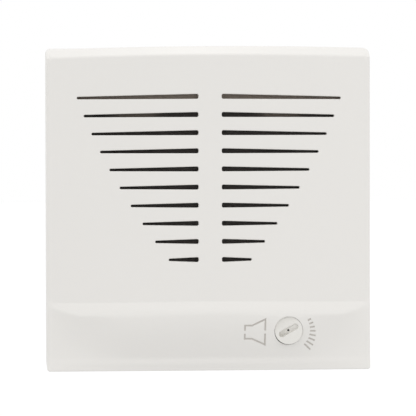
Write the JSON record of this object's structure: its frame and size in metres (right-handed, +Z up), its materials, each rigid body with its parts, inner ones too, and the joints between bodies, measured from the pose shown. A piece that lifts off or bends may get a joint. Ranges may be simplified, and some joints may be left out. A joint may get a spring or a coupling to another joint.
{
  "type": "wall alarm siren",
  "caption": "Square wall sounder with a bowed slotted cover, a recessed volume knob with a scale, and a loudspeaker and driver board on a back plate.",
  "frame": {"origin": "middle of the back plate's wall face, midway between its side edges and between its top and bottom edges", "axes": "+Y into the wall, so the front looks along -Y; +Z up; +X to the right seen from the front"},
  "size_m": [0.09, 0.0323, 0.09],
  "materials": {
    "case_plastic": "satin moulded",
    "plate_plastic": "matt moulded",
    "knob_plastic": "satin moulded",
    "rotor_plastic": "moulded",
    "pot_case": "moulded",
    "board_laminate": "solder resist",
    "terminal_plastic": "moulded",
    "brass": "bright",
    "tinned": "tinned",
    "zinc_steel": "zinc plated",
    "black_steel": "blackened",
    "frame_steel": "black pressed steel",
    "chip_epoxy": "matt",
    "can_sleeve": "shrink sleeve",
    "small_can_sleeve": "shrink sleeve",
    "diode_epoxy": "matt with a band",
    "resistor_lacquer": "lacquered",
    "foam": "closed-cell foam",
    "felt": "pressed felt",
    "screen_cloth": "woven cloth",
    "paper_black": "pressed paper",
    "cloth_edge": "coated cloth",
    "former_paper": "kraft paper",
    "copper": "enamelled wire",
    "disc_cloth": "resin cloth",
    "ferrite": "ground ferrite",
    "card": "phenolic card",
    "lead_red": "insulated wire",
    "lead_black": "insulated wire"
  },
  "bodies": {
    "base": {"back_plate": "plate_plastic", "potentiometer_body": "pot_case", "potentiometer_legs": "tinned", "circuit_board": "board_laminate", "board_screws": "zinc_steel", "terminal_block": "terminal_plastic", "terminal_clamps": "brass", "terminal_screws": "zinc_steel", "sounder_chip": "chip_epoxy", "chip_legs": "tinned", "main_capacitor": "can_sleeve", "small_capacitors": "small_can_sleeve", "rectifier_diodes": "diode_epoxy", "resistors": "resistor_lacquer", "driver_transistor": "chip_epoxy", "speaker_frame": "frame_steel", "speaker_gasket": "foam", "cone_surround": "cloth_edge", "centring_disc": "disc_cloth", "magnet_top_plate": "zinc_steel", "ring_magnet": "ferrite", "magnet_yoke": "zinc_steel", "tag_board": "card", "solder_tags": "brass", "tag_rivets": "zinc_steel", "speaker_screws": "black_steel", "speaker_washers": "black_steel", "speaker_lead_red": "lead_red", "speaker_lead_black": "lead_black"},
    "cover": {"front_cover": "case_plastic", "felt_strip": "felt", "dust_cloth": "screen_cloth"},
    "knob": {"volume_knob": "knob_plastic", "potentiometer_rotor": "rotor_plastic"},
    "cone": {"speaker_cone": "paper_black", "dust_cap": "paper_black", "coil_former": "former_paper", "coil_winding": "copper"}
  },
  "joints": [
    {"name": "cover_pull", "type": "slide", "parent": "base", "child": "cover", "axis": [0, -1, 0], "range_m": [0, 0.036]},
    {"name": "volume_turn", "type": "hinge", "parent": "base", "child": "knob", "pos_m": [0.0217, -0.012, -0.03375], "axis": [0, -1, 0], "range_deg": [-72, 0]},
    {"name": "cone_travel", "type": "slide", "parent": "base", "child": "cone", "axis": [0, -1, 0], "range_m": [-0.0008, 0.0008], "stiffness_N_per_m": 1500, "deforming": ["cone_surround", "centring_disc"]}
  ]
}
